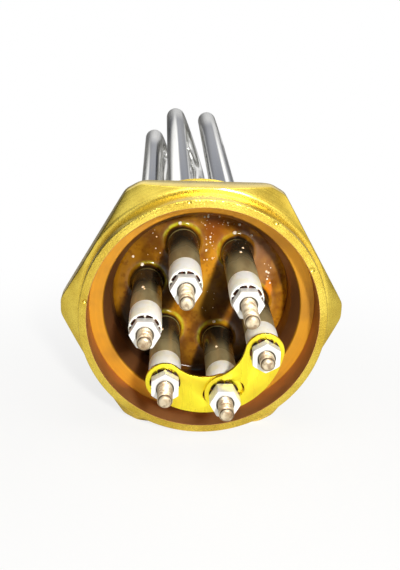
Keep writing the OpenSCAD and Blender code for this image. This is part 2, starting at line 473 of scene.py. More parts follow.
spigot = {
    "land": 29.8,
    "crest": 29.78,
    "root": 28.35,
    "core": 28.2,
    "coreEnd": 10.0,
    "pitch": 2.309,
    "start": 1.3,
    "runOn": 0.3,  # the thread starts this far inside the land
    "wound": (0.8, 27.0),  # from and to before it is trimmed to the sleeve
    "sleeve": 30.2,
    "lead": 1.9,  # of the sleeve, which leaves a chamfer on the last turn
    "steps": 96,
}


def windThread(name, size, low, high):
    # one tooth wound up with a Screw modifier, then cut off square at both ends
    crest, root, pitch = size["crest"], size["root"], size["pitch"]
    tooth = [(root, 0), (root, 0.12), (crest, 0.44), (crest, 0.58), (root, 0.9), (root, 1)]
    rod = drawLine(name, [(r, low + (share - 1) * pitch) for r, share in tooth])
    bpy.ops.object.mode_set(mode="OBJECT")
    wound = rod.modifiers.new("wound", "SCREW")
    wound.axis = "Y"
    wound.screw_offset = pitch * mm
    wound.iterations = math.ceil((high - low) / pitch) + 2
    wound.steps = wound.render_steps = size["steps"]
    pickOnly(rod)
    bpy.ops.object.modifier_apply(modifier=wound.name)
    bpy.ops.object.mode_set(mode="EDIT")
    bpy.ops.mesh.select_all(action="SELECT")
    bpy.ops.mesh.remove_doubles(threshold=2e-6)
    for level, keepAbove in ((low, True), (high, False)):
        bpy.ops.mesh.select_all(action="SELECT")
        bpy.ops.mesh.bisect(
            plane_co=(0, level * mm, 0),
            plane_no=(0, 1, 0),
            use_fill=True,
            clear_inner=keepAbove,
            clear_outer=not keepAbove,
            threshold=1e-7,
        )
    closeUp(1e-7)
    return rod


bushNeck = 6.0  # what of a bush is inside its tube
legs = {}  # the six tube ends, in metres, from the boxes of the bushes
for number in range(1, 7):
    low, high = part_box(f"ceramic_bush_{number}")
    legs[number] = {
        "place": ((low.x + high.x) / 2, (low.z + high.z) / 2),
        "front": low.y,
        "tubeEnd": high.y - bushNeck * mm,
    }

corner, hexFront = plug["cornerRadius"], -plug["hexLength"]
half = math.degrees(math.acos(plug["acrossFlats"] / 2 / corner))
angles = [60 * side + off for side in range(6) for off in (half - 30, 30 - half)]
outline = [(corner * math.cos(math.radians(t)), corner * math.sin(math.radians(t))) for t in angles]
outline = softened(outline, {index: plug["cornerSoft"] for index in range(12)}, 4)
back, ahead = plug["barPast"]
hexBar = drawLine("hexBar", [(x, back, z) for x, z in outline])
bpy.ops.mesh.select_all(action="SELECT")
bpy.ops.mesh.edge_face_add()
bpy.ops.mesh.extrude_region_move(TRANSFORM_OT_translate={"value": (0, (hexFront - ahead - back) * mm, 0)})
closeUp()
past = plug["trimPast"]
cone = turnPiece(
    "cone",
    softened(
        [
            (0, 0),
            (corner - plug["backChamfer"], 0),
            (corner + past, -plug["backChamfer"] - past),
            (corner + past, hexFront + plug["coneDrop"] + plug["trimDrop"]),
            (plug["coneTop"], hexFront),
            (0, hexFront),
        ],
        plug["coneSoft"],
    ),
    plug["around"],
)
carve(hexBar, cone, "INTERSECT")
mergeUp(hexBar, 5e-5)
breakEdges(hexBar, plug["edge"], 2, 32)

rim, front = plug["rimRadius"], plug["rimFront"]
plugBody = turnPiece(
    "plugBody",
    softened(
        [
            (0, spigot["coreEnd"]),
            (spigot["core"], spigot["coreEnd"]),
            (spigot["core"], spigot["start"]),
            (spigot["land"], spigot["start"]),
            (spigot["land"], hexFront / 2),
            (rim, hexFront / 2),
            (rim, front),
            (0, front),
        ],
        plug["outsideSoft"],
    ),
    plug["around"],
)
carve(plugBody, hexBar, "UNION")
thread = windThread("thread", spigot, *spigot["wound"])
sleeve, start, lead = spigot["sleeve"], spigot["start"] - spigot["runOn"], spigot["lead"]
reach = turnPiece(
    "reach",
    [
        (0, start),
        (sleeve, start),
        (sleeve, plug["spigotEnd"] - lead),
        (sleeve - lead, plug["spigotEnd"]),
        (0, plug["spigotEnd"]),
    ],
    plug["around"] + 5,  # other counts keep the edges of the cuts apart
)
carve(thread, reach, "INTERSECT")
carve(plugBody, thread, "UNION")
cup, mouth = plug["cupRadius"], plug["mouth"]
bore = turnPiece(
    "bore",
    softened(
        [
            (0, plug["chamberFloor"]),
            (plug["chamberRadius"], plug["chamberFloor"]),
            (plug["chamberRadius"], plug["throatEnd"]),
            (plug["throatRadius"], plug["ledge"]),
            (cup, plug["ledge"]),
            (cup, front),
            (cup + mouth, front - mouth),
            (0, front - mouth),
        ],
        plug["boreSoft"],
    ),
    plug["around"] + 11,
)
carve(plugBody, bore)
drillFrom, drillTo = plug["chamberFloor"] - plug["drillPast"], plug["spigotEnd"] + plug["drillPast"]
for leg in legs.values():
    carve(plugBody, rodAt("hole", plug["holeRadius"], drillFrom, drillTo, leg["place"]))
dents = []
for angle, radius, size, depth in plug["nicks"]:
    around = math.radians(angle)
    dents.append((radius * math.cos(around), front - size + depth, radius * math.sin(around), size))
carve(plugBody, ballCluster("dents", dents))
mergeUp(plugBody, 2e-6)

# brass, bright outside, browned inside the cup
brassPlan = {
    "light": (0.82, 0.635, 0.105, 1),
    "deep": (0.62, 0.43, 0.055, 1),
    "dull": (0.40, 0.26, 0.04, 1),
    "wall": tone(184, 126, 76),
    "ledge": tone(214, 150, 36),
    "throat": tone(146, 94, 52),
    "chamber": tone(120, 76, 44),
    # y and colour, from the rim inwards
    "inwards": [
        (plug["rimFront"], "wall"),
        (-5.5, "wall"),
        (-5.092, "ledge"),
        (-4.78, "ledge"),
        (-4.18, "throat"),
        (0.86, "throat"),
        (2.3, "chamber"),
        (9.5, "chamber"),
    ],
    "cupLimit": (plug["cupRadius"] + 0.15, -0.2),  # radius and y up to which a face counts as inside
    "boreLimit": (plug["throatRadius"] + 0.3, plug["chamberFloor"] + 0.5),
    "ringPitch": 0.4,
    "grainScale": 2300,
    "cloudScale": 95,
    "stainScale": 330,
    "insideMetal": 0.62,
    "insideRough": 0.44,
    "rimGrain": 2.2,
}
plugBrass, tree, shader = newFinish("turnedBrass")
at = placeOn(tree)
rings = latheMarks(tree, at, brassPlan["ringPitch"])
grain = speckle(tree, at["spot"], brassPlan["grainScale"], 2)
cloud = speckle(tree, at["spot"], brassPlan["cloudScale"], 3)
stain = speckle(tree, at["spot"], brassPlan["stainScale"], 4, 0.6)
outside = mixed(tree, between(tree, cloud, 0.3, 0.7), brassPlan["deep"], brassPlan["light"])
outside = mixed(tree, between(tree, stain, 0.55, 0.75, 0.0, 0.2), outside, brassPlan["dull"])
outside = mixed(tree, between(tree, grain, 0.52, 0.72, 0.0, 0.3), outside, brassPlan["dull"])
first, last = brassPlan["inwards"][0][0], brassPlan["inwards"][-1][0]
depth = maths(tree, "MULTIPLY_ADD", at["y"], 1 / ((last - first) * mm), -first / (last - first))
stops = [((y - first) / (last - first), brassPlan[key]) for y, key in brassPlan["inwards"]]
inside = ramp(tree, depth, stops)
inside = mixed(tree, between(tree, cloud, 0.4, 0.7, 0.0, 0.3), inside, brassPlan["chamber"])
inCup, inBore = (
    times(tree, under(tree, at["radius"], radius), under(tree, at["y"], y))
    for radius, y in (brassPlan["cupLimit"], brassPlan["boreLimit"])
)
within = maths(tree, "MAXIMUM", inCup, inBore)
gloss = maths(tree, "MULTIPLY_ADD", grain, 0.2, between(tree, rings, 0.2, 0.8, 0.12, 0.2))
colour = mixed(tree, within, outside, inside)
feed(
    shader,
    {
        "Base Color": dimmed(tree, colour, between(tree, rings, 0.25, 0.75, 0.93, 1.03)),
        "Metallic": between(tree, within, 0.0, 1.0, 1.0, brassPlan["insideMetal"]),
        "Roughness": blend(tree, within, gloss, brassPlan["insideRough"]),
    },
)
onRim = under(tree, at["y"], plug["rimFront"] + 0.3)
coarse = maths(tree, "MULTIPLY_ADD", within, -0.4, 0.4)
coarse = maths(tree, "MULTIPLY_ADD", onRim, brassPlan["rimGrain"], coarse)
relief(tree, shader, maths(tree, "MULTIPLY_ADD", grain, coarse, times(tree, rings, 0.3)), 0.25, 0.15)
finishPiece(plugBody, plugBrass, "plug_brass", "plug_body", smooth=30)

# three bent tubes, hollow, each from one terminal to the tank end and back
sheath = {"radius": 4.25, "wall": 0.7, "around": 40, "bendSteps": 36, "lip": 0.15}
sheaths = {}
for number in (1, 2, 3):
    nearLeg, farLeg = legs[number], legs[7 - number]
    start = Vector(onLeg(nearLeg, nearLeg["tubeEnd"]))
    end = Vector(onLeg(farLeg, farLeg["tubeEnd"]))
    across = end - start
    across.y = 0
    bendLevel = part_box(f"element_sheath_{number}")[1].y - across.length / 2 - sheath["radius"] * mm
    middle = Vector(((start.x + end.x) / 2, bendLevel, (start.z + end.z) / 2))
    pickOnly()
    bpy.ops.mesh.primitive_circle_add(
        vertices=sheath["around"], radius=sheath["radius"] * mm, location=start, rotation=(math.pi / 2, 0, 0)
    )
    bpy.ops.object.transform_apply(location=True, rotation=True, scale=True)
    tube = bpy.context.object
    tube.name = f"elementSheath_{number}"
    bpy.ops.object.mode_set(mode="EDIT")
    bpy.ops.mesh.select_all(action="SELECT")
    bpy.ops.mesh.extrude_region_move()
    bore = 1 - sheath["wall"] / sheath["radius"]
    bpy.ops.transform.resize(value=(bore, 1, bore), center_override=start)
    bpy.ops.mesh.select_all(action="SELECT")
    bpy.ops.mesh.extrude_region_move(TRANSFORM_OT_translate={"value": (0, bendLevel - start.y, 0)})
    axis = across.normalized().cross(Vector((0, 1, 0)))
    bpy.ops.mesh.spin(steps=sheath["bendSteps"], angle=math.pi, center=middle, axis=axis)
    bpy.ops.mesh.extrude_region_move(TRANSFORM_OT_translate={"value": (0, end.y - bendLevel, 0)})
    closeUp()
    breakEdges(tube, sheath["lip"], 2, 60)
    sheaths[number] = tube

# drab inside the cup, wet and black by the resin; bright in the tank, with painted reflections in bands of
# dark and bright
sheathPlan = {
    "satin": tone(182, 166, 120),
    "worn": tone(152, 136, 96),
    "wet": tone(42, 36, 26),
    "paintedTankSheen": (0.95, 0.945, 0.91, 1),
    "paintedDarkReflection": (0.12, 0.13, 0.16, 1),
    "wetSpan": (-13.0, 3.0),
    "ragged": 10.0,
    "tankSpan": (9.5, 20.0),
    "bandsFade": (180.0, 205.0),
    "plainBand": 0.7,
    "metal": {"dry": 0.45, "wet": 0.0, "tank": 0.95},
    "rough": {"dry": 0.36, "wet": 0.1, "tank": 0.2},
    # streaks, painted reflection bands and clouds: share along the tube, scale, detail and roughness of the
    # noise
    "noises": [(0.03, 900, 3, 0.6), (0.012, 210, 1, 0.5), (0.25, 260, 3, 0.5)],
}
elementSteel, tree, shader = newFinish("elementSteel")
at = placeOn(tree)
streaks, reflectionBands, cloud = (
    speckle(tree, stretched(tree, at["spot"], (1, share, 1)), *noise)
    for share, *noise in sheathPlan["noises"]
)
ragged = sheathPlan["ragged"] * mm
edge = maths(tree, "MULTIPLY_ADD", cloud, ragged, maths(tree, "ADD", at["y"], -ragged / 2))
dry = overSpan(tree, edge, sheathPlan["wetSpan"], 1.0, 0.0)
wet = maths(tree, "SUBTRACT", 1.0, maths(tree, "POWER", dry, 2.0))
inTank = overSpan(tree, at["y"], sheathPlan["tankSpan"])
satin = mixed(tree, between(tree, cloud, 0.35, 0.65), sheathPlan["worn"], sheathPlan["satin"])
cupSide = mixed(tree, wet, satin, sheathPlan["wet"])
bend = overSpan(tree, at["y"], sheathPlan["bandsFade"])
# painted reflections: the tank part is banded dark and bright along the tube, plainer towards the bend
reflectionBands = blend(tree, bend, between(tree, reflectionBands, 0.44, 0.54), sheathPlan["plainBand"])
paintedTankSheen = mixed(tree, reflectionBands, sheathPlan["paintedDarkReflection"], sheathPlan["paintedTankSheen"])
paintedTankSheen = mixed(tree, between(tree, streaks, 0.4, 0.8, 0.0, 0.15), paintedTankSheen, sheathPlan["worn"])
metal, rough = (
    blend(tree, inTank, blend(tree, wet, share["dry"], share["wet"]), share["tank"])
    for share in (sheathPlan["metal"], sheathPlan["rough"])
)
feed(shader, {"Base Color": mixed(tree, inTank, cupSide, paintedTankSheen), "Metallic": metal, "Roughness": rough})
relief(tree, shader, streaks, 0.06, 0.06)
for number, tube in sheaths.items():
    finishPiece(tube, elementSteel, "sheath", f"element_sheath_{number}")

# potting resin, drawn up round the tubes and along the wall
resin = {
    "radius": 25.35,
    "surface": 9.5,
    "floor": 18.0,
    "wallReach": 1.8,
    "wallRise": 1.0,
    "tubeGap": 4.3,
    "collarReach": 1.8,
    "collarRise": {1: 3.0, 2: 3.3, 3: 2.9, 4: 2.3, 5: 3.0, 6: 2.2},
    "overlap": 0.2,  # collars reach this far into the tubes' holes, and their foot into the resin
    "foot": 3.0,
    "sink": 0.02,
    "drillPast": (4.0, 2.0),
    "around": 96,
    "collarAround": 48,
}


def drawnUp(fromRadius, reach, rise, level, steps=7, hollow=2.2):
    # a hollow curve from the wetted wall down to the flat surface
    shares = [step / steps for step in range(steps + 1)]
    return [(fromRadius + reach * share, level - rise * (1 - share) ** hollow) for share in shares]


level = resin["surface"]
wallCurve = drawnUp(resin["radius"], -resin["wallReach"], resin["wallRise"], level)
outline = [(0, resin["floor"]), (resin["radius"], resin["floor"]), *wallCurve, (0, level)]
pottingResin = turnPiece("pottingResin", outline, resin["around"])
for number, leg in legs.items():
    inner, foot = resin["tubeGap"] - resin["overlap"], level + resin["foot"]
    curve = drawnUp(inner, resin["collarReach"], resin["collarRise"][number], level + resin["sink"])
    outline = [(0, foot), (curve[-1][0], foot), *reversed(curve), (0, curve[0][1])]
    collar = turnPiece("collar", outline, resin["collarAround"])
    collar.location = onLeg(leg)
    carve(pottingResin, collar, "UNION")
drillFrom, drillTo = level - resin["drillPast"][0], resin["floor"] + resin["drillPast"][1]
for leg in legs.values():
    carve(pottingResin, rodAt("hole", resin["tubeGap"], drillFrom, drillTo, leg["place"]))
mergeUp(pottingResin)

bubbles = {
    "seed": 11,
    # how many, middle x and z, spread x and z, smallest and largest radius
    "drifts": [
        (34, (2.6, 15.5), (2.2, 7.0), (0.10, 0.34)),
        (16, (5.0, 21.5), (5.5, 1.8), (0.12, 0.42)),
        (9, (19.0, 4.0), (1.6, 4.5), (0.15, 0.5)),
        (10, (-13.0, 15.0), (5.0, 4.5), (0.10, 0.3)),
        (8, (0.0, -4.0), (5.0, 4.0), (0.10, 0.26)),
    ],
    "keepOff": 6.6,
    "keepIn": 23.4,
    "sunk": 0.25,  # share of the radius
    # single drops set where glints show by the collars and on the tubes, painted glints: x, y, z and radius
    "glintDrops": [
        (-6.4, 9.3, 20.3, 0.55),
        (-17.0, 9.3, 7.6, 0.6),
        (9.3, 9.3, 17.8, 0.6),
        (4.4, 9.3, -9.9, 0.6),
        (14.2, 9.4, 17.1, 0.35),
        (10.6, 9.4, 20.2, 0.4),
        (-19.7, 9.4, 10.0, 0.4),
        (-8.1, 9.3, -8.5, 0.35),
        (-16.4, -7.9, 6.9, 0.45),
        (-16.0, -9.2, 6.9, 0.3),
        (10.1, -4.3, 16.3, 0.4),
        (11.0, -0.1, 16.2, 0.35),
        (-11.0, -2.0, -7.9, 0.5),
        (4.3, -7.3, -10.6, 0.35),
    ],
}
chance = random.Random(bubbles["seed"])
spots = []
for many, middle, spread, sizes in bubbles["drifts"]:
    for _ in range(many):
        x, z = (centre + reach * chance.uniform(-1, 1) for centre, reach in zip(middle, spread))
        size = sizes[0] + (sizes[1] - sizes[0]) * chance.random() ** 2
        gap = min(math.dist((x, z), [c / mm for c in leg["place"]]) for leg in legs.values())
        if gap > bubbles["keepOff"] and math.hypot(x, z) < bubbles["keepIn"]:
            spots.append((x, level + size * bubbles["sunk"], z, size))
bubblesAndGlintBeads = ballCluster("bubblesAndGlintBeads", spots + bubbles["glintDrops"])

resinPlan = {
    "amber": tone(194, 130, 24),
    "brown": tone(126, 76, 16),
    "rust": tone(120, 58, 10),
    "shadow": tone(26, 21, 14),
    # painted light: the colour of the glow at the collars
    "collar": tone(196, 190, 40),
    # painted highlight: a pale thin arc where the resin meets the tube
    "lip": tone(178, 164, 104),
    "clear": ((0.5, -1.5), (5.0, 8.0), tone(200, 146, 44), 0.75),  # painted light, a lighter pool in the middle: middle, reach, colour and share
    "crust": ((3.8, 19.0), (3.6, 6.0), tone(134, 66, 10), 0.65),
    # a tan patch on the right: tan resin, and partly a painted reflection
    "patch": ((17.5, 8.5), (4.5, 8.0), tone(150, 110, 80), 0.5),
    "smear": ((19.8, 0.8), (1.5, 3.2), tone(222, 128, 22), 0.85),
    # painted light, a yellow-green glow through the resin on one side of each collar: side in degrees and
    # share
    "glow": {1: (150, 0.5), 2: (100, 0.9), 3: (50, 0.5), 4: (45, 0.8), 5: (130, 0.8), 6: (120, 0.5)},
    "leftPaintedShade": ((-20.0, 2.0), 0.45),  # painted shade, darker to the left: span and what is left of the colour
    # painted shade, darker towards the bottom
    "lowPaintedShade": ((-21.0, -11.0), 0.4),
    "stain": ((-6.0, -18.0), (3.2, 4.8), 0.72),  # painted shadow cast by each tube on the resin, on one side of it: run, edge and share
    # distances from a tube's axis
    "lipHighlightEdge": (4.35, 4.5),
    "shadowEdge": (5.3, 5.9),
    "ringFrom": (5.6, 6.0),
    "ringTo": (6.1, 7.0),
    "coatEdge": (5.8, 7.2),
    "ragged": 1.4,
    "cloudScale": 130,
    "fineScale": 700,
    "rough": 0.14,
    "mirror": 0.08,
    "wetCoat": 0.5,
    "coatRough": 0.12,
}
pottingAmber, tree, shader = newFinish("pottingAmber")
at = placeOn(tree)
cloud = speckle(tree, at["spot"], resinPlan["cloudScale"], 3)
fine = speckle(tree, at["spot"], resinPlan["fineScale"], 2)
colour = mixed(tree, between(tree, cloud, 0.35, 0.65), resinPlan["brown"], resinPlan["amber"])
colour = mixed(tree, between(tree, fine, 0.5, 0.7, 0.0, 0.5), colour, resinPlan["rust"])
# painted shade: the resin is darkened to the left and towards the bottom
leftPaintedShade, lowPaintedShade = (
    overSpan(tree, at[key], span, share, 1.0)
    for key, (span, share) in (("x", resinPlan["leftPaintedShade"]), ("z", resinPlan["lowPaintedShade"]))
)
colour = dimmed(tree, colour, times(tree, leftPaintedShade, lowPaintedShade))
# patches: a painted pool of light in the middle, real crust, a tan patch that is partly painted reflection,
# and an orange smear
for key in ("clear", "crust", "patch", "smear"):
    middle, reach, shade, share = resinPlan[key]
    off = vectors(tree, "SUBTRACT", at["flat"], (middle[0] * mm, 0, middle[1] * mm))
    off = vectors(tree, "MULTIPLY", off, (1 / reach[0] / mm, 1, 1 / reach[1] / mm))
    off = maths(tree, "MULTIPLY_ADD", fine, 0.8, vectors(tree, "LENGTH", off))
    colour = mixed(tree, between(tree, off, 0.9, 1.5, share, 0.0), colour, shade)
# painted shadow: a dark band runs from each tube the way its shadow falls
run, shadowRunEdge, shadowRunShare = resinPlan["stain"]
run = Vector((run[0], 0, run[1])) * mm
aways = {number: vectors(tree, "SUBTRACT", at["flat"], onLeg(leg)) for number, leg in legs.items()}
shadowRunGap = None
for away in aways.values():
    share = vectors(tree, "DOT_PRODUCT", away, run / run.length_squared)
    share = add(tree, "ShaderNodeClamp", {0: share}).outputs[0]
    nearest = add(tree, "ShaderNodeVectorMath", {0: run, 3: share}, operation="SCALE").outputs[0]
    off = vectors(tree, "DISTANCE", away, nearest)
    shadowRunGap = maths(tree, "MINIMUM", shadowRunGap, off) if shadowRunGap else off
colour = mixed(tree, overSpan(tree, shadowRunGap, shadowRunEdge, shadowRunShare, 0.0), colour, resinPlan["shadow"])
# painted light and shade round each tube: a glowing ring on the given side, a dark ring, and a bright lip
for number, away in aways.items():
    side, share = resinPlan["glow"][number]
    toSide = (math.cos(math.radians(side)), 0, math.sin(math.radians(side)))
    facing = vectors(tree, "DOT_PRODUCT", vectors(tree, "NORMALIZE", away), toSide)
    facing = between(tree, facing, 0.1, 0.85, 0.05, share)
    gap = vectors(tree, "LENGTH", away)
    off = maths(tree, "MULTIPLY_ADD", cloud, resinPlan["ragged"] * mm, gap)
    ring = overSpan(tree, off, resinPlan["ringFrom"])
    ring = times(tree, ring, overSpan(tree, off, resinPlan["ringTo"], 1.0, 0.0))
    ring = times(tree, ring, facing)
    ring = times(tree, ring, between(tree, fine, 0.35, 0.6, 0.35, 1.0))
    colour = mixed(tree, ring, colour, resinPlan["collar"])
    dark = overSpan(tree, off, resinPlan["shadowEdge"], 0.97, 0.0)
    colour = mixed(tree, dark, colour, resinPlan["shadow"])
    # painted highlight on the resin's edge at the tube
    lip = overSpan(tree, gap, resinPlan["lipHighlightEdge"], 0.6, 0.0)
    colour = mixed(tree, times(tree, lip, facing), colour, resinPlan["lip"])
nearest = fromNearestLeg(tree, at["flat"])
feed(
    shader,
    {
        "Base Color": colour,
        "Roughness": resinPlan["rough"],
        "Specular IOR Level": resinPlan["mirror"],
        "Coat Weight": overSpan(tree, nearest, resinPlan["coatEdge"], resinPlan["wetCoat"], 0.0),
        "Coat Roughness": resinPlan["coatRough"],
    },
)
relief(tree, shader, cloud, 0.2, 1.0)
finishPiece(pottingResin, pottingAmber, "resin", "potting_resin", smooth=60)

# pale, nearly white beads: painted glints on the bubbles and drops
bubblePlan = {"amber": tone(246, 206, 150), "glint": tone(255, 248, 230), "cloudScale": 900}
bubbleGlint, tree, shader = newFinish("bubbleGlint")
cloud = speckle(tree, placeOn(tree)["spot"], bubblePlan["cloudScale"], 2)
colour = mixed(tree, between(tree, cloud, 0.35, 0.6), bubblePlan["amber"], bubblePlan["glint"])
feed(shader, {"Base Color": colour, "Roughness": resinPlan["rough"]})
finishPiece(bubblesAndGlintBeads, bubbleGlint, "resin", smooth=60)

# ceramic bush, turned once and set on the six tubes
bush = {
    "radius": 4.3,
    "length": 10.0,
    "neckRadius": 3.45,
    "neck": bushNeck,
    "bore": 2.06,
    "seatEdge": 0.35,
    "edge": 0.55,
    "around": 48,
}
outline = softened(
    [
        (bush["bore"], bush["neck"]),
        (bush["neckRadius"], bush["neck"]),
        (bush["neckRadius"], 0),
        (bush["radius"], 0),
        (bush["radius"], -bush["length"]),
        (bush["bore"], -bush["length"]),
    ],
    {3: bush["seatEdge"], 4: bush["edge"]},
)
bushModel = turnPiece("bushModel", [*outline, outline[0]], bush["around"])
bushPlan = {
    "body": tone(255, 253, 244),
    "warm": tone(252, 244, 214),
    "speck": tone(190, 176, 146),
    "cloudScale": 240,
    "fineScale": 1800,
    "rough": 0.42,
    "throughShare": 0.15,
    "throughReach": (0.002, 0.0016, 0.001),
}
ceramic, tree, shader = newFinish("steatite")
spot = placeOn(tree)["spot"]
cloud = speckle(tree, spot, bushPlan["cloudScale"], 3)
fine = speckle(tree, spot, bushPlan["fineScale"], 2)
colour = mixed(tree, between(tree, cloud, 0.4, 0.75), bushPlan["body"], bushPlan["warm"])
feed(
    shader,
    {
        "Base Color": mixed(tree, between(tree, fine, 0.62, 0.8, 0.0, 0.25), colour, bushPlan["speck"]),
        "Roughness": bushPlan["rough"],
        "Subsurface Weight": bushPlan["throughShare"],
        "Subsurface Radius": bushPlan["throughReach"],
    },
)
relief(tree, shader, fine, 0.1, 0.1)
for number, leg in legs.items():
    piece = copyTo(bushModel, f"ceramicBush_{number}", onLeg(leg, leg["tubeEnd"]))
    finishPiece(piece, ceramic, "ceramic", f"ceramic_bush_{number}")
bpy.data.objects.remove(bushModel, do_unlink=True)

# threaded studs: one long thread, each copy cut to its own length with a chamfered tip
stud = {
    "crest": 1.98,
    "root": 1.6,
    "pitch": 0.7,
    "wound": (-0.4, 20.0),
    "tip": [(0, 0), (1.15, 0), (1.35, 0.1), (1.62, 0.42), (2.2, 1.2)],
    "core": 1.5,  # the shank's end that sits in the thread
    "coreRun": 1.0,
    "runOut": 0.2,
    "shank": 2.0,
    "pin": 1.5,
    "cover": 3.0,
    "steps": 24,
    "tipSteps": 43,
    "shankSteps": 32,
}
threadModel = windThread("threadModel", stud, *stud["wound"])
studPlan = {
    "light": tone(226, 212, 182),
    "deep": tone(166, 144, 112),
    "groove": tone(92, 74, 54),
    "grime": tone(126, 94, 66),
    "grooveFrom": (1.58, 1.62),
    "grooveTo": (1.68, 1.9),
    "cloudScale": 500,
    "grimeScale": 1500,
    "grainScale": 2600,
    "metal": 0.8,
}
studSteel, tree, shader = newFinish("studSteel")
at = placeOn(tree)
cloud = speckle(tree, at["spot"], studPlan["cloudScale"], 3)
colour = mixed(tree, between(tree, cloud, 0.3, 0.7), studPlan["deep"], studPlan["light"])
nearest = fromNearestLeg(tree, at["flat"])
# painted shade darkening the thread's roots
groove = overSpan(tree, nearest, studPlan["grooveFrom"])
groove = times(tree, groove, overSpan(tree, nearest, studPlan["grooveTo"], 1.0, 0.0))
colour = mixed(tree, groove, colour, studPlan["groove"])
turns = speckle(tree, stretched(tree, at["spot"], (0.35, 1, 0.35)), studPlan["grimeScale"], 2)
feed(
    shader,
    {
        "Base Color": mixed(tree, between(tree, turns, 0.5, 0.62, 0.0, 0.6), colour, studPlan["grime"]),
        "Metallic": studPlan["metal"],
        "Roughness": between(tree, cloud, 0.3, 0.7, 0.52, 0.4),
    },
)
relief(tree, shader, speckle(tree, at["spot"], studPlan["grainScale"], 2), 0.25, 0.06)
for number, leg in legs.items():
    low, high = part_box(f"terminal_stud_{number}")
    tip = low.y / mm
    threaded = leg["front"] / mm - tip + stud["cover"]
    collarEnd = leg["tubeEnd"] / mm + bush["neck"] - tip
    pinEnd = high.y / mm - tip
    piece = copyTo(threadModel, f"terminalStud_{number}", (0, 0, 0))
    outline = [*stud["tip"], (stud["tip"][-1][0], threaded), (0, threaded)]
    carve(piece, turnPiece("shape", outline, stud["tipSteps"]), "INTERSECT")
    shank = turnPiece(
        "shank",
        [
            (0, threaded - stud["coreRun"]),
            (stud["core"], threaded - stud["coreRun"]),
            (stud["core"], threaded - stud["runOut"]),
            (stud["shank"], threaded + stud["runOut"]),
            (stud["shank"], collarEnd),
            (stud["pin"], collarEnd),
            (stud["pin"], pinEnd),
            (0, pinEnd),
        ],
        stud["shankSteps"],
    )
    carve(piece, shank, "UNION")
    pickOnly(piece)
    piece.location = onLeg(leg, low.y)
    bpy.ops.object.transform_apply(location=True, rotation=True, scale=True)
    mergeUp(piece)
    finishPiece(piece, studSteel, "stud_steel", f"terminal_stud_{number}")
bpy.data.objects.remove(threadModel, do_unlink=True)

# star washer: a ring with its teeth drawn out and twisted one after the other
washer = {
    "inner": 2.2,
    "ring": 3.1,
    "outer": 4.0,
    "sheet": 0.5,
    "teeth": 10,
    "facesEach": 24,
    "toothShare": 0.93,
    "twist": 18,
}
inner, ring, half = washer["inner"], washer["ring"], washer["sheet"] / 2
washerModel = turnPiece(
    "washerModel",
    [(inner, -half), (ring, -half), (ring, half), (inner, half), (inner, -half)],
    washer["teeth"] * washer["facesEach"],
)
pickOnly(washerModel)
bpy.ops.object.mode_set(mode="EDIT")
bpy.ops.mesh.select_mode(type="FACE")
toothHalf = math.radians(180 / washer["teeth"] * washer["toothShare"])
grow = (washer["outer"] - ring) * mm
twist, step = math.radians(washer["twist"]), math.radians(360 / washer["teeth"])
for tooth in range(washer["teeth"]):
    grid = bmesh.from_edit_mesh(washerModel.data)
    for face in grid.faces:
        middle = face.calc_center_median()
        outward = abs(Vector((middle.x, middle.z)).length - ring * mm) < 0.05 * mm
        face.select_set(outward and abs(math.atan2(middle.z, middle.x)) < toothHalf)
    bmesh.update_edit_mesh(washerModel.data)
    bpy.ops.mesh.extrude_region_move(TRANSFORM_OT_translate={"value": (grow, 0, 0)})
    bpy.ops.transform.rotate(value=twist, orient_axis="X", center_override=(0, 0, 0))
    bpy.ops.mesh.select_all(action="SELECT")
    bpy.ops.transform.rotate(value=step, orient_axis="Y", center_override=(0, 0, 0))
closeUp()
washerPlan = {"dark": tone(58, 38, 30), "copper": tone(150, 98, 74), "cloudScale": 900}
washerSteel, tree, shader = newFinish("browned")
cloud = speckle(tree, placeOn(tree)["spot"], washerPlan["cloudScale"], 3)
feed(
    shader,
    {
        "Base Color": mixed(tree, between(tree, cloud, 0.5, 0.75), washerPlan["dark"], washerPlan["copper"]),
        "Metallic": 1.0,
        "Roughness": between(tree, cloud, 0.3, 0.7, 0.5, 0.28),
    },
)
relief(tree, shader, cloud, 0.2, 0.05)
for number, leg in legs.items():
    low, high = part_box(f"star_washer_{number}")
    piece = copyTo(washerModel, f"starWasher_{number}", onLeg(leg, (low.y + high.y) / 2))
    finishPiece(piece, washerSteel, "washer_steel", f"star_washer_{number}")
bpy.data.objects.remove(washerModel, do_unlink=True)

# nuts, five low ones and a tall one where the links lap
nut = {
    "acrossFlats": 7.0,
    "chamfer": 0.32,
    "bore": 2.03,
    "sink": 0.34,
    "edge": 0.07,
    "turns": {4: 30, 6: 30},
    # how far the trimming shapes go past the nut
    "trimIn": 0.17,
    "trimPast": 0.1,
    "trimDrop": 0.06,
    "drillPast": 0.4,
    "trimSteps": 60,
    "drillSteps": 44,
}
nutPlan = {
    "zinc": tone(246, 245, 242),
    "dull": tone(224, 222, 214),
    # painted shade: a dark ring round the nut's hole
    "sink": tone(104, 98, 84),
    "sinkShadeEdge": (2.2, 2.5),
    "cloudScale": 420,
    "grainScale": 1600,
    "metal": 0.3,
}
nutZinc, tree, shader = newFinish("brightZinc")
at = placeOn(tree)
cloud = speckle(tree, at["spot"], nutPlan["cloudScale"], 3)
colour = mixed(tree, between(tree, cloud, 0.3, 0.65), nutPlan["dull"], nutPlan["zinc"])
# painted shade in the countersink round the hole
sunk = overSpan(tree, fromNearestLeg(tree, at["flat"]), nutPlan["sinkShadeEdge"], 1.0, 0.0)
feed(
    shader,
    {
        "Base Color": mixed(tree, sunk, colour, nutPlan["sink"]),
        "Metallic": nutPlan["metal"],
        "Roughness": between(tree, cloud, 0.3, 0.7, 0.44, 0.3),
    },
)
relief(tree, shader, speckle(tree, at["spot"], nutPlan["grainScale"], 2), 0.08, 0.05)


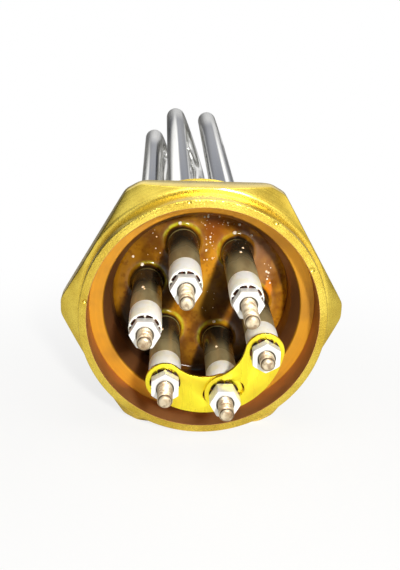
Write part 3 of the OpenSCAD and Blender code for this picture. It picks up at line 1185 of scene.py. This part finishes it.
def cutNut(name, tall):
    corner = nut["acrossFlats"] / 2 / math.cos(math.pi / 6)
    pickOnly()
    bpy.ops.mesh.primitive_cylinder_add(
        vertices=6,
        radius=corner * mm,
        depth=tall * mm,
        location=(0, -tall / 2 * mm, 0),
        rotation=(math.pi / 2, math.pi / 6, 0),
    )
    bpy.ops.object.transform_apply(location=True, rotation=True, scale=True)
    piece = bpy.context.object
    piece.name = name
    low, drop = corner - nut["chamfer"], nut["chamfer"] * math.tan(math.pi / 6)
    narrow, past, drop = low - nut["trimIn"], nut["trimPast"], drop + nut["trimDrop"]
    dome = [(0, past), (narrow, past), (corner + past, -drop), (corner + past, -tall + drop)]
    dome += [(narrow, -tall - past), (0, -tall - past)]
    carve(piece, turnPiece("dome", dome, nut["trimSteps"]), "INTERSECT")
    deep = nut["drillPast"]
    wide = nut["bore"] + nut["sink"] + deep
    hole = [(0, deep), (wide, deep), (nut["bore"], -nut["sink"]), (nut["bore"], -tall + nut["sink"])]
    hole += [(wide, -tall - deep), (0, -tall - deep)]
    carve(piece, turnPiece("hole", hole, nut["drillSteps"]))
    mergeUp(piece, 4e-5)
    breakEdges(piece, nut["edge"], 2, 28)
    return piece


for number, leg in legs.items():
    low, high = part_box(f"terminal_nut_{number}")
    cutAs = cutNut("cutAs", (high.y - low.y) / mm)
    piece = copyTo(cutAs, f"terminalNut_{number}", onLeg(leg, high.y), nut["turns"].get(number, 0))
    bpy.data.objects.remove(cutAs, do_unlink=True)
    finishPiece(piece, nutZinc, "nut_zinc", f"terminal_nut_{number}")

# two curved links that lie on the pitch circle
link = {
    "pitch": 15.7,
    "width": 10.2,
    "hole": 2.2,
    "slotRun": 3.4,
    "edge": 0.14,
    "arcSteps": 24,
    "endSteps": 20,
    "drillPast": 1.0,
    "slotDeep": 3.0,
}
linkPlan = {
    "yellow": tone(250, 236, 60),
    "gold": tone(240, 212, 58),
    "cloudScale": 120,
    "brushScale": 1500,
    "brushShare": 0.06,
}


def arcPoints(centre, radius, fromAngle, toAngle, steps):
    shares = [step / steps for step in range(1, steps + 1)]
    turns = [math.radians(fromAngle + (toAngle - fromAngle) * share) for share in shares]
    return [(centre[0] + radius * math.cos(t), centre[1] + radius * math.sin(t)) for t in turns]


def curvedBar(name, halfWidth, fromAngle, toAngle, back, thick):
    pitch, arcSteps, endSteps = link["pitch"], link["arcSteps"], link["endSteps"]
    start, end = (arcPoints((0, 0), pitch, angle, angle, 1)[0] for angle in (fromAngle, toAngle))
    outline = arcPoints((0, 0), pitch + halfWidth, fromAngle, toAngle, arcSteps)
    outline += arcPoints(end, halfWidth, toAngle, toAngle + 180, endSteps)
    outline += arcPoints((0, 0), pitch - halfWidth, toAngle, fromAngle, arcSteps)
    outline += arcPoints(start, halfWidth, fromAngle + 180, fromAngle + 360, endSteps)
    outline.append(outline[0])
    bar = drawLine(name, [(x, back, z) for x, z in outline])
    bpy.ops.mesh.select_all(action="SELECT")
    bpy.ops.mesh.remove_doubles(threshold=1e-6)
    bpy.ops.mesh.edge_face_add()
    bpy.ops.mesh.extrude_region_move(TRANSFORM_OT_translate={"value": (0, -thick * mm, 0)})
    closeUp()
    return bar


linkBrass, tree, shader = newFinish("linkBrass")
spot = placeOn(tree)["spot"]
cloud = speckle(tree, spot, linkPlan["cloudScale"], 3)
brushed = speckle(tree, stretched(tree, spot, (1, 1, linkPlan["brushShare"])), linkPlan["brushScale"], 2)
feed(
    shader,
    {
        "Base Color": mixed(tree, between(tree, cloud, 0.3, 0.7), linkPlan["gold"], linkPlan["yellow"]),
        "Metallic": 1.0,
        "Roughness": between(tree, brushed, 0.3, 0.7, 0.26, 0.36),
    },
)
relief(tree, shader, brushed, 0.05, 0.05)


def angleOf(number):
    x, z = legs[number]["place"]
    return math.degrees(math.atan2(z, x))


slotTurn = math.degrees(link["slotRun"] / link["pitch"])
for name, node, first, last, plain in (  # the legs at both ends, and the one with a round hole
    ("starLinkLower", "star_link_lower", 4, 5, 4),
    ("starLinkUpper", "star_link_upper", 5, 6, 6),
):
    low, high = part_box(node)
    back, thick = high.y / mm, (high.y - low.y) / mm
    fromAngle, toAngle = angleOf(first), angleOf(last)
    bar = curvedBar(name, link["width"] / 2, fromAngle, toAngle, back, thick)
    drillFrom, drillTo = low.y / mm - link["drillPast"], back + link["drillPast"]
    carve(bar, rodAt("hole", link["hole"], drillFrom, drillTo, legs[plain]["place"]))
    slotFrom = toAngle - slotTurn if plain == first else fromAngle  # the slot is at the shared terminal
    slotTo = slotFrom + slotTurn
    carve(bar, curvedBar("slot", link["hole"], slotFrom, slotTo, drillTo, link["slotDeep"]))
    breakEdges(bar, link["edge"], 2, 40)
    finishPiece(bar, linkBrass, "link_brass", node)

# what is inside the tubes keeps the solids' own meshes
fills = {
    "magnesia": {
        "prefix": "magnesia_fill_",
        "light": tone(232, 230, 222),
        "dark": tone(206, 202, 192),
        "metal": 0.0,
        "rough": 0.9,
        "grainScale": 1500,
    },
    "coil": {
        "prefix": "heating_coil_",
        "light": tone(150, 146, 140),
        "dark": tone(96, 90, 84),
        "metal": 1.0,
        "rough": 0.35,
        "grainScale": 1500,
    },
}
for name, fill in fills.items():
    finish, tree, shader = newFinish(name)
    grain = speckle(tree, placeOn(tree)["spot"], fill["grainScale"], 3)
    colour = mixed(tree, between(tree, grain, 0.35, 0.65), fill["dark"], fill["light"])
    feed(shader, {"Base Color": colour, "Metallic": fill["metal"], "Roughness": fill["rough"]})
    relief(tree, shader, grain, 0.3, 0.1)
    for number in (1, 2, 3):
        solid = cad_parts[f"{fill['prefix']}{number}"]
        solid.data.materials.clear()
        solid.data.materials.append(finish)
print("inner fills ready:", len(fills), "finishes")
